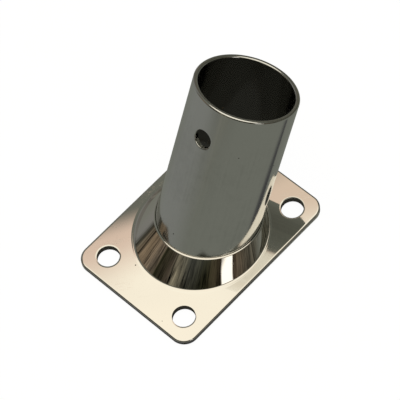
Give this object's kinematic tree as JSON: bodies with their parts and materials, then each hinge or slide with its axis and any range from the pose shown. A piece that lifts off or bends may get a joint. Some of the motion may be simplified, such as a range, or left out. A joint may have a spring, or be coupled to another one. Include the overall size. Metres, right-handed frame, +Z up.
{
  "type": "stanchion base",
  "caption": "Inclined stanchion base: a rectangular screw-down plate with a raised neck that holds an open socket tube leaning along the plate's long side.",
  "frame": {"origin": "on the underside of the plate, under the middle of the whole fitting's footprint", "axes": "+X along the plate's long side, the way the tube leans; +Y across the plate; +Z up out of the deck"},
  "size_m": [0.0634, 0.0408, 0.0513],
  "materials": {
    "polished_plate": "mirror-polished 316 stainless steel",
    "polished_tube": "polished 316 stainless steel with fine lengthwise polishing lines",
    "weld_metal": "ground and brushed stainless weld metal"
  },
  "bodies": {
    "root": {"flange_plate": "polished_plate", "socket_tube": "polished_tube", "root_weld": "weld_metal"}
  },
  "joints": []
}
